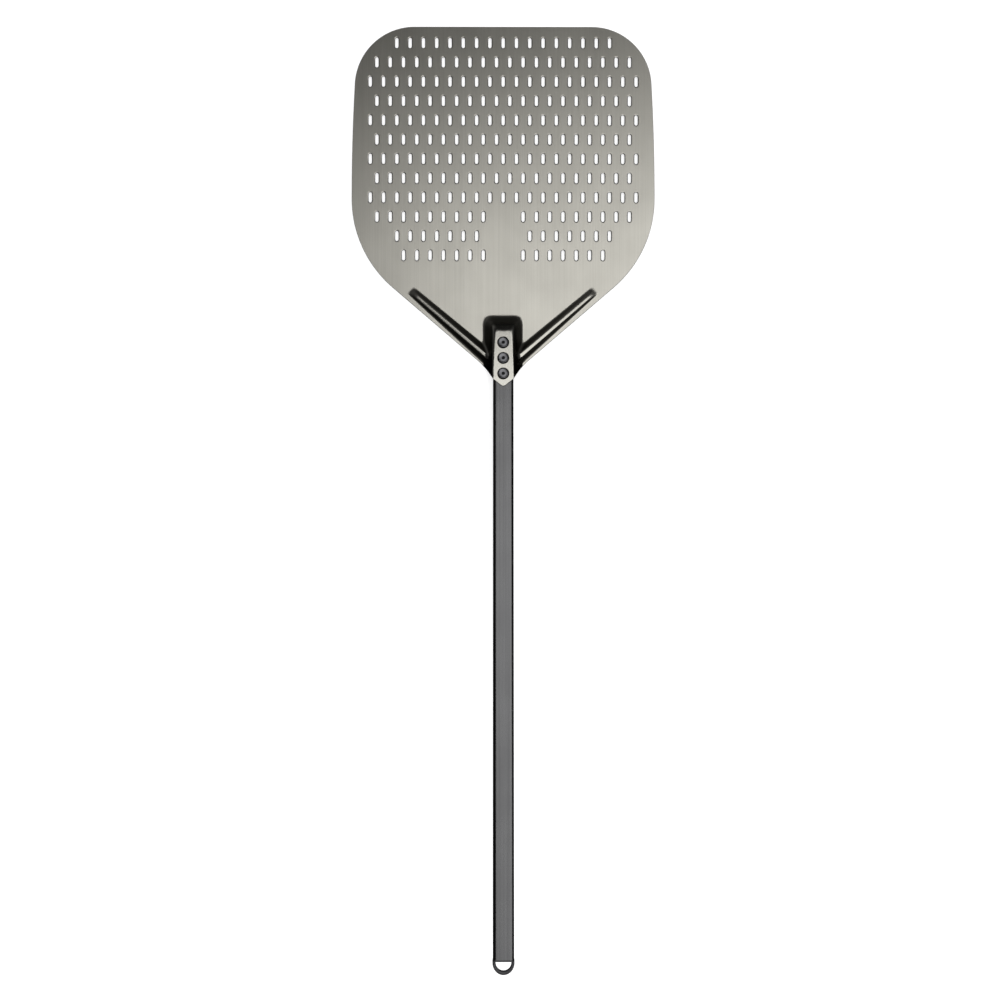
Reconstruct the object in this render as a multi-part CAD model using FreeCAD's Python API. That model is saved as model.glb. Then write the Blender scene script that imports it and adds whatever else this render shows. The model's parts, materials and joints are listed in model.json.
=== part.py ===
import FreeCAD, Part
import math
import os

# Pizza peel: a pressed, perforated aluminium blade, riveted over the end of a tube handle with a hanging loop.
# Millimetres. The origin is on the blade's underside, at the middle of the 330 mm square head.
# +Y points to the blade's front edge, +Z is up, and the handle runs towards -Y and rises gently.

V = FreeCAD.Vector
UP = V(0, 0, 1)
FORWARD = V(0, 1, 0)
RIGHT = V(1, 0, 0)

# ---- Driving dimensions: the blade's outline ----
SHEET = 1.5                    # thickness of the aluminium sheet
HALF_WIDTH = 165.0             # half of the 330 mm head
FRONT_Y = 165.0                # front edge
FRONT_CORNER_R = 65.0
SIDE_R = 2250.0                # the sides are very slightly curved, so the head narrows towards its front
WIDEST_Y = -22.0               # where the sides stop and the rear corners start
REAR_CORNER_R = 127.0
V_ANGLE = 40.6                 # degrees between each rear edge and the X axis
NECK_X = 21.0                  # where the rear edges reach the foot of the boss
CLIMB_ANGLE = 58.0             # degrees: the edge is steeper where it climbs the boss's flank
TONGUE_HALF_WIDTH = 10.8
TONGUE_ANGLE = 38.0            # degrees between each edge of the tongue's point and the X axis
TONGUE_NOSE_R = 4.0

# ---- Driving dimensions: the slots ----
SLOT_WIDTH = 4.0
SLOT_LENGTH = 12.0
SLOT_PITCH_X = 14.48
SLOT_PITCH_Y = 21.0
FIRST_ROW_Y = 147.5
# One entry per row from the front: the outermost slot, and the innermost one, in pitches from the centre line.
SLOT_ROWS = [
    (8.0, 0.0),
    (9.5, 0.5),
    (10.0, 0.0),
    (9.5, 0.5),
    (10.0, 0.0),
    (9.5, 0.5),
    (10.0, 0.0),
    (9.5, 0.5),
    (10.0, 0.0),
    (9.5, 1.5),
    (8.0, 2.0),
    (7.5, 1.5),
]

# ---- Driving dimensions: the boss that is pressed up over the handle ----
BOSS_FRONT_Y = -150.5          # foot of the front flank
BOSS_TOP_Y = -163.1            # top of the front flank, before its edge is rounded
BOSS_FOOT_HALF = 20.7          # half width at the foot
BOSS_TOP_HALF_FRONT = 10.5     # half width of the top at its front, before rounding
BOSS_TOP_HALF_REAR = 12.7      # and at the tongue
BOSS_END_Y = -240.0            # the form runs on past the tongue and is trimmed by the outline
BOSS_CORNER_R = 6.5            # the two upright front corners
BOSS_TOP_R = 4.0               # round edge of the top

# ---- Driving dimensions: the ribs, along the rear edges ----
RIB_TIP_X = 99.6               # outer end of each rib
RIB_LENGTH = 121.0
RIB_TOP_START = 6.0            # the end slopes up over this length
RIB_FOOT_TIP = (6.0, 14.9)     # distances of the two feet from the rear edge, at the outer end
RIB_FOOT_ROOT = (3.2, 17.9)    # and at the boss
RIB_CREST = 11.3               # distance of the crest, the inner edge of the rib's top, from the rear edge
RIB_TOP_OUTER_TIP = 7.5        # the same for the outer edge of the top, at the outer end
RIB_TOP_OUTER_ROOT = 6.8       # and at the boss
RIB_TOP_TILT = 7.0             # degrees: the top falls away from its crest
RIB_RISE_TIP = 3.0
RIB_RISE_ROOT = 8.6
RIB_EDGE_R = 1.0

# ---- Driving dimensions: the handle ----
HANDLE_RISE = 6.0              # degrees
TUBE_FRONT_Y = -166.0
TUBE_WIDTH = 22.0
TUBE_HEIGHT = 12.0
TUBE_WALL = 1.5
TUBE_EDGE_R = 3.5
TUBE_LENGTH = 659.5
TUBE_FLOOR_GAP = 0.5           # the tube's lowest corner stays this far above the table

# ---- Driving dimensions: the blind rivets ----
RIVET_FIRST = 14.5             # from the tube's front end to the first rivet
RIVET_PITCH = 17.0
RIVET_NAMES = ["front", "middle", "rear"]
RIVET_SHANK_D = 6.4
RIVET_HOLE_D = 6.5
RIVET_HEAD_D = 13.0
RIVET_HEAD_RIM = 0.8
RIVET_HEAD_RISE = 2.3
RIVET_DISH_D = 9.4
RIVET_DISH_DEPTH = 0.45
RIVET_BORE_D = 3.3
RIVET_BULB_D = 9.2
RIVET_BULB_LENGTH = 3.2
MANDREL_D = 3.2
MANDREL_HEAD_D = 5.6
MANDREL_HEAD_LENGTH = 2.0
MANDREL_RECESS = 1.0           # the stub breaks off this far below the head's dish

# ---- Driving dimensions: the end plug and its loop ----
FLANGE_THICKNESS = 1.5
FLANGE_PROUD = 0.3             # the flange stands this far outside the tube
LOOP_INNER_R = 8.1
LOOP_OUTER_HALF = 11.4
LOOP_OUTER_REACH = 12.3        # from the centre of the eye's round end
LOOP_LEG = 1.9                 # short straight legs between the flange and the half-ring
LOOP_THICKNESS = 5.0
LOOP_EDGE_R = 1.5
SHANK_LENGTH = 26.0
SHANK_GAP = 0.5                # between the shank and the tube's bore
SHANK_WALL = 1.6
SHANK_RIBS = 4
SHANK_RIB_GAP = 0.05           # the crush ribs almost touch the bore
SHANK_RIB_THICKNESS = 1.0

MARGIN = 1.0                   # how far a cutting solid passes the faces that it cuts


# ---- Helpers ----
def polygon(points):
    """A closed face through the points."""
    return Part.Face(Part.makePolygon(points + points[:1]))


def frustum(foot, top):
    """The solid with flat sides between two polygons that have the same number of corners."""
    wires = [Part.makePolygon(points + points[:1]) for points in (foot, top)]
    return Part.makeLoft(wires, True, True)


def polar(centre, radius, angle):
    """The point at an angle, in radians from the X axis, on a level circle."""
    return centre + V(radius * math.cos(angle), radius * math.sin(angle), 0)


def mirrored(shape):
    return shape.mirror(V(0, 0, 0), RIGHT)


def edges_where(shape, test):
    return [edge for edge in shape.Edges if test(edge)]


def rounded_rectangle(width, height, radius, y):
    """A wire in the plane across Y, with the top edge at z = 0."""
    box = Part.makeBox(width, 1.0, height, V(-width / 2, y, -height))
    along_y = edges_where(box, lambda e: abs(e.tangentAt(e.FirstParameter).dot(FORWARD)) > 0.99)
    rounded = box.makeFillet(radius, along_y)
    face = min(rounded.Faces, key=lambda f: f.CenterOfMass.y)
    return face.OuterWire


def bar(width, height, radius, start, length, drop=0.0):
    """A rounded bar that runs towards -Y from start, with its top drop below z = 0."""
    wire = rounded_rectangle(width, height, radius, start)
    wire.translate(V(0, 0, -drop))
    return Part.Face(wire).extrude(V(0, -length, 0))


def one_solid(shape):
    solids = shape.Solids
    assert len(solids) == 1, f"{len(solids)} solids where one is expected"
    return solids[0]


# ---- The blade ----
def rear_edge_y(x):
    """Y of the straight rear edge at the distance x from the centre line."""
    slope = math.tan(math.radians(V_ANGLE))
    corner_x = HALF_WIDTH - REAR_CORNER_R + REAR_CORNER_R * math.sin(math.radians(V_ANGLE))
    corner_y = WIDEST_Y - REAR_CORNER_R * math.cos(math.radians(V_ANGLE))
    return corner_y - slope * (corner_x - x)


def blade_outline():
    """The outline: front edge, sides, rear corners, straight rear edges, climb and pointed tongue."""
    v = math.radians(V_ANGLE)
    climb = math.tan(math.radians(CLIMB_ANGLE))
    point = math.radians(TONGUE_ANGLE)
    # The front corner's arc runs smoothly into the side's: their centres are the difference of the radii apart.
    front_y = FRONT_Y - FRONT_CORNER_R
    side_centre = V(HALF_WIDTH - SIDE_R, WIDEST_Y, 0)
    side_turn = math.asin((front_y - WIDEST_Y) / (SIDE_R - FRONT_CORNER_R))
    front_centre = polar(side_centre, SIDE_R - FRONT_CORNER_R, side_turn)
    front_top = V(front_centre.x, FRONT_Y, 0)
    front_mid = polar(front_centre, FRONT_CORNER_R, (math.pi / 2 + side_turn) / 2)
    front_side = polar(side_centre, SIDE_R, side_turn)
    side_mid = polar(side_centre, SIDE_R, side_turn / 2)
    rear_centre = V(HALF_WIDTH - REAR_CORNER_R, WIDEST_Y, 0)
    rear_mid = polar(rear_centre, REAR_CORNER_R, (v - math.pi / 2) / 2)
    rear_end = polar(rear_centre, REAR_CORNER_R, v - math.pi / 2)
    neck = V(NECK_X, rear_edge_y(NECK_X), 0)
    shoulder = V(TONGUE_HALF_WIDTH, neck.y - climb * (NECK_X - TONGUE_HALF_WIDTH), 0)
    nose_x = TONGUE_NOSE_R * math.sin(point)
    nose = V(nose_x, shoulder.y - math.tan(point) * (TONGUE_HALF_WIDTH - nose_x), 0)
    tip = V(0, nose.y - TONGUE_NOSE_R * (1 - math.cos(point)), 0)

    side_end = V(HALF_WIDTH, WIDEST_Y, 0)
    right = [
        Part.Arc(front_top, front_mid, front_side),
        Part.Arc(front_side, side_mid, side_end),
        Part.Arc(side_end, rear_mid, rear_end),
        Part.LineSegment(rear_end, neck),
        Part.LineSegment(neck, shoulder),
        Part.LineSegment(shoulder, nose),
    ]
    edges = [piece.toShape() for piece in right]
    edges += [mirrored(edge) for edge in edges]
    edges.append(Part.Arc(nose, tip, V(-nose.x, nose.y, 0)).toShape())
    edges.append(Part.LineSegment(front_top, V(-front_top.x, FRONT_Y, 0)).toShape())
    return Part.Face(Part.Wire(Part.__sortEdges__(edges)))


def slot_centres():
    for row, (outer, inner) in enumerate(SLOT_ROWS):
        y = FIRST_ROW_Y - row * SLOT_PITCH_Y
        for step in range(round(outer - inner) + 1):
            x = (inner + step) * SLOT_PITCH_X
            yield x, y
            if x > 0:
                yield -x, y


def slot_cutter(x, y):
    """One round-ended slot that passes both faces of the sheet."""
    r = SLOT_WIDTH / 2
    h = SLOT_LENGTH / 2 - r
    sides = [Part.LineSegment(V(x + r, y - h, 0), V(x + r, y + h, 0)),
             Part.Arc(V(x + r, y + h, 0), V(x, y + h + r, 0), V(x - r, y + h, 0)),
             Part.LineSegment(V(x - r, y + h, 0), V(x - r, y - h, 0)),
             Part.Arc(V(x - r, y - h, 0), V(x, y - h - r, 0), V(x + r, y - h, 0))]
    face = Part.Face(Part.Wire([side.toShape() for side in sides]))
    face.translate(V(0, 0, -MARGIN))
    return face.extrude(V(0, 0, SHEET + 2 * MARGIN))


def channel_ceiling_z(y):
    """Height of the boss's underside, which lies flat on the tube."""
    rise = math.radians(HANDLE_RISE)
    at_tube_front = TUBE_FLOOR_GAP + TUBE_HEIGHT * math.cos(rise)
    return at_tube_front + (TUBE_FRONT_Y - y) * math.tan(rise)


def boss_form():
    """The underside of the boss as a solid that stands on z = 0."""
    foot = [V(-BOSS_FOOT_HALF, BOSS_END_Y, 0), V(BOSS_FOOT_HALF, BOSS_END_Y, 0),
            V(BOSS_FOOT_HALF, BOSS_FRONT_Y, 0), V(-BOSS_FOOT_HALF, BOSS_FRONT_Y, 0)]
    front_z = channel_ceiling_z(BOSS_TOP_Y)
    rear_z = channel_ceiling_z(BOSS_END_Y)
    top = [V(-BOSS_TOP_HALF_REAR, BOSS_END_Y, rear_z), V(BOSS_TOP_HALF_REAR, BOSS_END_Y, rear_z),
           V(BOSS_TOP_HALF_FRONT, BOSS_TOP_Y, front_z), V(-BOSS_TOP_HALF_FRONT, BOSS_TOP_Y, front_z)]
    form = frustum(foot, top)
    mid_z = front_z / 2
    corners = edges_where(form, lambda e: abs(e.CenterOfMass.z - mid_z) < MARGIN
                          and e.BoundBox.YLength < 2 * (BOSS_FRONT_Y - BOSS_TOP_Y))
    form = form.makeFillet(BOSS_CORNER_R, corners)
    top_edges = edges_where(form, lambda e: e.BoundBox.ZMin > front_z - 2 * MARGIN
                            and e.BoundBox.YMax > BOSS_END_Y + MARGIN)
    return form.makeFillet(BOSS_TOP_R, top_edges)


def rib_form():
    """The underside of the right-hand rib as a solid that stands on z = 0."""
    v = math.radians(V_ANGLE)
    along = V(-math.cos(v), -math.sin(v), 0)
    inward = V(-math.sin(v), math.cos(v), 0)
    # The point of the rear edge that is square to the rib's outer end.
    middle = sum(RIB_FOOT_TIP) / 2
    foot_x = RIB_TIP_X - inward.x * middle
    tip = V(foot_x, rear_edge_y(foot_x), 0)

    def corner(distance, offset, z):
        return tip + along * distance + inward * offset + UP * z

    foot = [corner(0, RIB_FOOT_TIP[0], 0), corner(0, RIB_FOOT_TIP[1], 0),
            corner(RIB_LENGTH, RIB_FOOT_ROOT[1], 0), corner(RIB_LENGTH, RIB_FOOT_ROOT[0], 0)]
    fall = math.tan(math.radians(RIB_TOP_TILT))
    top = [corner(RIB_TOP_START, RIB_TOP_OUTER_TIP, RIB_RISE_TIP - fall * (RIB_CREST - RIB_TOP_OUTER_TIP)),
           corner(RIB_TOP_START, RIB_CREST, RIB_RISE_TIP),
           corner(RIB_LENGTH, RIB_CREST, RIB_RISE_ROOT),
           corner(RIB_LENGTH, RIB_TOP_OUTER_ROOT, RIB_RISE_ROOT - fall * (RIB_CREST - RIB_TOP_OUTER_ROOT))]
    form = frustum(foot, top)
    top_edges = edges_where(form, lambda e: e.BoundBox.ZMin > RIB_RISE_TIP - MARGIN
                            and e.Length > RIB_LENGTH / 2)
    return form.makeFillet(RIB_EDGE_R, top_edges)


def make_blade():
    """The sheet with its pressed boss and ribs. It thins on the flanks, as pressing stretches it there."""
    outline = blade_outline()
    slots = Part.makeCompound([slot_cutter(x, y) for x, y in slot_centres()])
    flat = outline.extrude(UP * SHEET).cut(slots)
    rib = rib_form()
    underside = boss_form().fuse([rib, mirrored(rib)])
    top_side = underside.translated(UP * SHEET)
    pressed = flat.fuse(top_side).cut(underside)
    tall = outline.extrude(UP * (channel_ceiling_z(BOSS_END_Y) + 2 * SHEET))
    return one_solid(pressed.common(tall).removeSplitter())


# ---- The handle: drawn level, with the tube's front top edge at the origin, then laid at its slope ----
def lay_on_slope(shape):
    laid = shape.copy()
    laid.rotate(V(0, 0, 0), RIGHT, -HANDLE_RISE)
    laid.translate(V(0, TUBE_FRONT_Y, channel_ceiling_z(TUBE_FRONT_Y)))
    return laid


def make_tube():
    outside = bar(TUBE_WIDTH, TUBE_HEIGHT, TUBE_EDGE_R, 0, TUBE_LENGTH)
    bore = bar(TUBE_WIDTH - 2 * TUBE_WALL, TUBE_HEIGHT - 2 * TUBE_WALL, TUBE_EDGE_R - TUBE_WALL,
               MARGIN, TUBE_LENGTH + 2 * MARGIN, TUBE_WALL)
    return outside.cut(bore)


def rivet_axis_y(index):
    return -(RIVET_FIRST + index * RIVET_PITCH)


def rivet_hole(index):
    """A cutter for the holes in the boss and in the tube's top wall."""
    start = V(0, rivet_axis_y(index), -TUBE_WALL - MARGIN)
    return Part.makeCylinder(RIVET_HOLE_D / 2, SHEET + TUBE_WALL + 3 * MARGIN, start)


def turned(profile, index):
    """The solid turned from (radius, height) points about a rivet's axis."""
    face = polygon([V(r, 0, z) for r, z in profile])
    solid = face.revolve(V(0, 0, 0), UP, 360)
    return solid.translated(V(0, rivet_axis_y(index), 0))


def head_seat_z():
    """The boss's top, measured square to the slope."""
    return SHEET * math.cos(math.radians(HANDLE_RISE))


def dome_height(r, seat):
    """Height of the domed head at the radius r: a circle through the rim and the crown."""
    head_r = RIVET_HEAD_D / 2
    rise = RIVET_HEAD_RISE - RIVET_HEAD_RIM
    sphere_r = (head_r ** 2 + rise ** 2) / (2 * rise)
    return seat + RIVET_HEAD_RISE - sphere_r + math.sqrt(sphere_r ** 2 - r ** 2)


def make_rivet_body(index):
    """Dome head with a shallow dish, hollow shank, and the bulb that the mandrel has formed inside the tube."""
    seat = head_seat_z()
    head_r = RIVET_HEAD_D / 2
    shank_r = RIVET_SHANK_D / 2
    bore_r = RIVET_BORE_D / 2
    dish_r = RIVET_DISH_D / 2
    steps = 4
    rim = [(head_r, seat), (head_r, seat + RIVET_HEAD_RIM)]
    dome = [(r, dome_height(r, seat)) for r in
            (head_r - (head_r - dish_r) * step / steps for step in range(1, steps + 1))]
    dish_z = dome[-1][1] - RIVET_DISH_DEPTH
    bulb_top = -TUBE_WALL
    bulb_low = bulb_top - RIVET_BULB_LENGTH
    chamfer = RIVET_BULB_LENGTH / 4
    bulb_r = RIVET_BULB_D / 2
    profile = [(shank_r, seat)] + rim + dome + [
        (dish_r - RIVET_DISH_DEPTH, dish_z), (bore_r, dish_z), (bore_r, bulb_low),
        (bulb_r - chamfer, bulb_low), (bulb_r, bulb_low + chamfer),
        (bulb_r, bulb_top - chamfer), (bulb_r - chamfer, bulb_top), (shank_r, bulb_top)]
    return turned(profile, index)


def make_mandrel(index):
    """The steel stub that stays in the rivet, with its head under the bulb."""
    seat = head_seat_z()
    dish_z = dome_height(RIVET_DISH_D / 2, seat) - RIVET_DISH_DEPTH
    low = -TUBE_WALL - RIVET_BULB_LENGTH
    stub_r = MANDREL_D / 2
    head_r = MANDREL_HEAD_D / 2
    chamfer = MANDREL_HEAD_LENGTH / 3
    profile = [(0, dish_z - MANDREL_RECESS), (stub_r, dish_z - MANDREL_RECESS), (stub_r, low),
               (head_r, low), (head_r, low - MANDREL_HEAD_LENGTH + chamfer),
               (head_r - chamfer, low - MANDREL_HEAD_LENGTH), (0, low - MANDREL_HEAD_LENGTH)]
    return turned(profile, index)


def make_loop():
    """The loop, drawn level behind the flange and centred on the tube's height: two short legs and a half-ring."""
    flange_y = -(TUBE_LENGTH + FLANGE_THICKNESS)
    z = -TUBE_HEIGHT / 2 - LOOP_THICKNESS / 2
    centre = V(0, flange_y - LOOP_LEG, z)
    rim = Part.Ellipse(centre - FORWARD * LOOP_OUTER_REACH, centre + RIGHT * LOOP_OUTER_HALF, centre)
    disc = Part.Face(Part.Wire([rim.toShape()])).extrude(UP * LOOP_THICKNESS)
    legs = Part.makeBox(2 * LOOP_OUTER_HALF, LOOP_LEG, LOOP_THICKNESS, centre - RIGHT * LOOP_OUTER_HALF)
    deep = LOOP_THICKNESS + 2 * MARGIN
    eye = Part.makeCylinder(LOOP_INNER_R, deep, centre - UP * MARGIN)
    way = Part.makeBox(2 * LOOP_INNER_R, 2 * LOOP_INNER_R, deep, centre - V(LOOP_INNER_R, 0, MARGIN))
    size = 4 * LOOP_OUTER_HALF
    behind = Part.makeBox(size, size, size, V(-size / 2, flange_y - size, z - size / 2))
    half_disc = disc.common(behind.translated(V(0, -LOOP_LEG, 0)))
    ring = one_solid(half_disc.fuse(legs).cut(eye.fuse(way)).removeSplitter())
    rims = edges_where(ring, lambda e: e.BoundBox.ZLength < MARGIN and e.BoundBox.YLength > MARGIN)
    return ring.makeFillet(LOOP_EDGE_R, rims)


def make_shank():
    """The cored shank inside the tube, with a few crush ribs around it."""
    start = -(TUBE_LENGTH - SHANK_LENGTH)
    bore_w = TUBE_WIDTH - 2 * TUBE_WALL
    bore_h = TUBE_HEIGHT - 2 * TUBE_WALL
    bore_r = TUBE_EDGE_R - TUBE_WALL

    def inside(gap, at, length):
        return bar(bore_w - 2 * gap, bore_h - 2 * gap, bore_r - gap, at, length, TUBE_WALL + gap)

    shank = inside(SHANK_GAP, start, SHANK_LENGTH)
    pitch = SHANK_LENGTH / (SHANK_RIBS + 1)
    ribs = [inside(SHANK_RIB_GAP, start - pitch * (step + 1), SHANK_RIB_THICKNESS)
            for step in range(SHANK_RIBS)]
    core = inside(SHANK_GAP + SHANK_WALL - MARGIN / 2, start + MARGIN, SHANK_LENGTH - SHANK_WALL)
    return shank.fuse(ribs).cut(core)


def make_plug():
    flange = bar(TUBE_WIDTH + 2 * FLANGE_PROUD, TUBE_HEIGHT + 2 * FLANGE_PROUD, TUBE_EDGE_R + FLANGE_PROUD,
                 -TUBE_LENGTH, FLANGE_THICKNESS, -FLANGE_PROUD)
    return one_solid(flange.fuse([make_shank(), make_loop()]).removeSplitter())


def save(name, shape):
    solid = one_solid(shape)
    assert solid.isValid(), f"{name} is not a valid solid"
    solid.exportStep(f"parts/{name}.step")
    box = solid.optimalBoundingBox()
    print(f"{name}: {solid.Volume / 1000:.2f} cm3, "
          f"{box.XLength:.1f} x {box.YLength:.1f} x {box.ZLength:.1f} mm, "
          f"y {box.YMin:.1f} to {box.YMax:.1f}, z {box.ZMin:.2f} to {box.ZMax:.2f}")


def main():
    os.makedirs("parts", exist_ok=True)
    holes = Part.makeCompound([rivet_hole(index) for index in range(len(RIVET_NAMES))])
    save("blade", make_blade().cut(lay_on_slope(holes)))
    save("handle_tube", lay_on_slope(make_tube().cut(holes)))
    for index, place in enumerate(RIVET_NAMES):
        save(f"rivet_{place}_body", lay_on_slope(make_rivet_body(index)))
        save(f"rivet_{place}_mandrel", lay_on_slope(make_mandrel(index)))
    save("hanging_loop_plug", lay_on_slope(make_plug()))


main()
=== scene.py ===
# %% [markdown]
# # A pizza peel
#
# A pizza peel slides pizzas in and out of a hot oven. This one has a square head of perforated aluminium
# sheet, a raised boss pressed up over the end of a flat-topped tube, one stiffening rib each side of the
# boss, three blind rivets, and a moulded plug with a hanging loop at the far end of the tube.
#
# The lesson makes each of those pieces as a mesh in real sizes, gives each its own procedural finish, and
# lights them as a product picture. The engineering model comes first, as a frame that says where every
# piece belongs.

# %% Load the frame and keep its box
import json
import math

import bmesh
import bpy
from mathutils import Matrix, Vector

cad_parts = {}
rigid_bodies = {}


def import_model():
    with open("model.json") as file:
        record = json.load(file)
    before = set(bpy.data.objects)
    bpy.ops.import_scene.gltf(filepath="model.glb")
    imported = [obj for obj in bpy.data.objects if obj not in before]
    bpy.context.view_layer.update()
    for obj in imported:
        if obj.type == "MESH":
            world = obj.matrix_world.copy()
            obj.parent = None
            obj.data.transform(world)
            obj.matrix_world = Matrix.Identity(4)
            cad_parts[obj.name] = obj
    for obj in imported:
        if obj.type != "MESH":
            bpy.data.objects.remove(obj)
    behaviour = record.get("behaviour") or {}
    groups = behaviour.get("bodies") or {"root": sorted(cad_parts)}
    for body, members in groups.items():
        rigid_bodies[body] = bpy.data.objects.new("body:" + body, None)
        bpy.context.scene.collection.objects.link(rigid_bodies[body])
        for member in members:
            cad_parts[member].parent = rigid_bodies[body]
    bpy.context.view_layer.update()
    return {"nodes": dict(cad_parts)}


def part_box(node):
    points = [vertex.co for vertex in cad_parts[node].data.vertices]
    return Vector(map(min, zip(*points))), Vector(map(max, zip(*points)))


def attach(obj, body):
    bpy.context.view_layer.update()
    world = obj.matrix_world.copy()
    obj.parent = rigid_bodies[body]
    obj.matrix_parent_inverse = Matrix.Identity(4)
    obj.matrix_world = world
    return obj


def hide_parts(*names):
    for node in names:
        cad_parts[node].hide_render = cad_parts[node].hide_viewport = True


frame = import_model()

print("nodes:", sorted(frame["nodes"]))

# %% [markdown]
# ## Working in millimetres
#
# Workshop drawings of small metal parts are in millimetres, and Blender's scene is in metres. Each mesh is
# drawn in millimetres, where the numbers are easy to read, and is scaled once when its object is made. The
# object itself stays at the origin, unturned and unscaled, so a pattern on Object coordinates sits still on
# the piece.

# %% Units and directions
MM = 0.001
UP = Vector((0, 0, 1))
FORWARD = Vector((0, 1, 0))
RIGHT = Vector((1, 0, 0))


def box_mm(node):
    """The lowest and highest corners of a frame node, in millimetres."""
    low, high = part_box(node)
    return low / MM, high / MM


# %% One helper turns a finished mesh into a piece
def finish_piece(bm, name, material, nodes, crisp=False):
    """Makes the object, which rides on the peel's one body and stands for its frame nodes."""
    bmesh.ops.scale(bm, vec=(MM, MM, MM), verts=bm.verts[:])
    for face in bm.faces:
        face.smooth = True
    mesh = bpy.data.meshes.new(name)
    bm.to_mesh(mesh)
    bm.free()
    piece = bpy.data.objects.new(name, mesh)
    bpy.context.scene.collection.objects.link(piece)
    mesh.materials.append(material)
    if crisp:
        # Flat faces keep flat shading right up to their rounded edges.
        weighted = piece.modifiers.new("flat faces stay flat", "WEIGHTED_NORMAL")
        weighted.keep_sharp = True
        weighted.weight = 100
    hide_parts(*nodes)
    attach(piece, "root")
    print(f"{name}: {len(mesh.polygons)} faces, {len(mesh.vertices)} vertices")


# %% The pen: lines and arcs on the drawing board
def drawn_line(bm, pen, *points):
    """Draws on from the vertex pen through the points, and returns the last vertex."""
    for point in points:
        pen = bmesh.ops.extrude_vert_indiv(bm, verts=[pen])["verts"][0]
        pen.co = point
    return pen


def drawn_arc(bm, pen, centre, degrees, steps):
    """Swings the vertex pen about a centre, and returns the last vertex."""
    swept = bmesh.ops.spin(bm, geom=[pen], cent=centre, axis=UP, angle=math.radians(degrees), steps=steps)
    return next(item for item in swept["geom_last"] if isinstance(item, bmesh.types.BMVert))


# %% [markdown]
# ## Brushing, wear and grain as node groups
#
# Several finishes share an effect: brushed lines on the blade and drawing lines on the tube are the same
# stretched noise at other sizes, and every metal edge wears. Each effect is a node group with named
# sockets, built once. The group gives out masks and heights only, and the shader stays in each material.

# %% Small helpers for node trees
def new_group(name, inputs, outputs):
    """An empty shader node group with its sockets, its input node and its output node."""
    group = bpy.data.node_groups.new(name, "ShaderNodeTree")
    for kind, label, value in inputs:
        socket = group.interface.new_socket(name=label, in_out="INPUT", socket_type=kind)
        if value is not None:
            socket.default_value = value
    for kind, label in outputs:
        group.interface.new_socket(name=label, in_out="OUTPUT", socket_type=kind)
    return group, group.nodes.new("NodeGroupInput"), group.nodes.new("NodeGroupOutput")


def node(tree, kind, **settings):
    """A new node, with its settings."""
    made = tree.nodes.new(kind)
    for name, value in settings.items():
        setattr(made, name, value)
    return made


def join(tree, source, target):
    tree.links.new(source, target)


def calculated(tree, operation, first, second, clamp=False):
    """What a Math node makes of two values, each a socket or a plain number."""
    made = node(tree, "ShaderNodeMath", operation=operation, use_clamp=clamp)
    for socket, value in zip(made.inputs, (first, second)):
        if isinstance(value, (int, float)):
            socket.default_value = value
        else:
            join(tree, value, socket)
    return made.outputs[0]


# %% Lines: noise that is squeezed across and stretched along one direction
def make_line_group():
    group, given, gives = new_group(
        "metal_lines",
        [("NodeSocketVector", "Place", None),
         ("NodeSocketFloat", "Across", 900.0),
         ("NodeSocketFloat", "Along", 6.0)],
        [("NodeSocketFloat", "Line height"), ("NodeSocketFloat", "Broad tone")])
    sizes = node(group, "ShaderNodeCombineXYZ")
    join(group, given.outputs["Across"], sizes.inputs[0])
    join(group, given.outputs["Along"], sizes.inputs[1])
    join(group, given.outputs["Across"], sizes.inputs[2])
    stretched = node(group, "ShaderNodeVectorMath", operation="MULTIPLY")
    join(group, given.outputs["Place"], stretched.inputs[0])
    join(group, sizes.outputs[0], stretched.inputs[1])
    fine = node(group, "ShaderNodeTexNoise")
    fine.inputs["Scale"].default_value = 2.6
    fine.inputs["Detail"].default_value = 3.0
    broad = node(group, "ShaderNodeTexNoise")
    broad.inputs["Scale"].default_value = 0.55
    broad.inputs["Detail"].default_value = 2.0
    for texture in (fine, broad):
        join(group, stretched.outputs[0], texture.inputs["Vector"])
    join(group, fine.outputs[0], gives.inputs["Line height"])
    join(group, broad.outputs[0], gives.inputs["Broad tone"])
    return group


# %% Edge wear: where a rounded normal leaves the true one, an edge is near
def make_wear_group():
    group, given, gives = new_group(
        "edge_wear",
        [("NodeSocketVector", "Place", None),
         ("NodeSocketFloat", "Patches", 260.0),
         ("NodeSocketFloat", "Amount", 1.0)],
        [("NodeSocketFloat", "Wear")])
    rounded = node(group, "ShaderNodeBevel", samples=4)
    rounded.inputs["Radius"].default_value = 0.35 * MM
    true = node(group, "ShaderNodeNewGeometry")
    dot = node(group, "ShaderNodeVectorMath", operation="DOT_PRODUCT")
    join(group, rounded.outputs[0], dot.inputs[0])
    join(group, true.outputs["Normal"], dot.inputs[1])
    edge = calculated(group, "SUBTRACT", 1.0, dot.outputs["Value"], clamp=True)
    strong = calculated(group, "MULTIPLY", edge, 6.0, clamp=True)
    patches = node(group, "ShaderNodeTexNoise")
    join(group, given.outputs["Place"], patches.inputs["Vector"])
    join(group, given.outputs["Patches"], patches.inputs["Scale"])
    broken = calculated(group, "MULTIPLY", strong, patches.outputs[0])
    worn = calculated(group, "MULTIPLY", broken, given.outputs["Amount"], clamp=True)
    join(group, worn, gives.inputs["Wear"])
    return group


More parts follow.
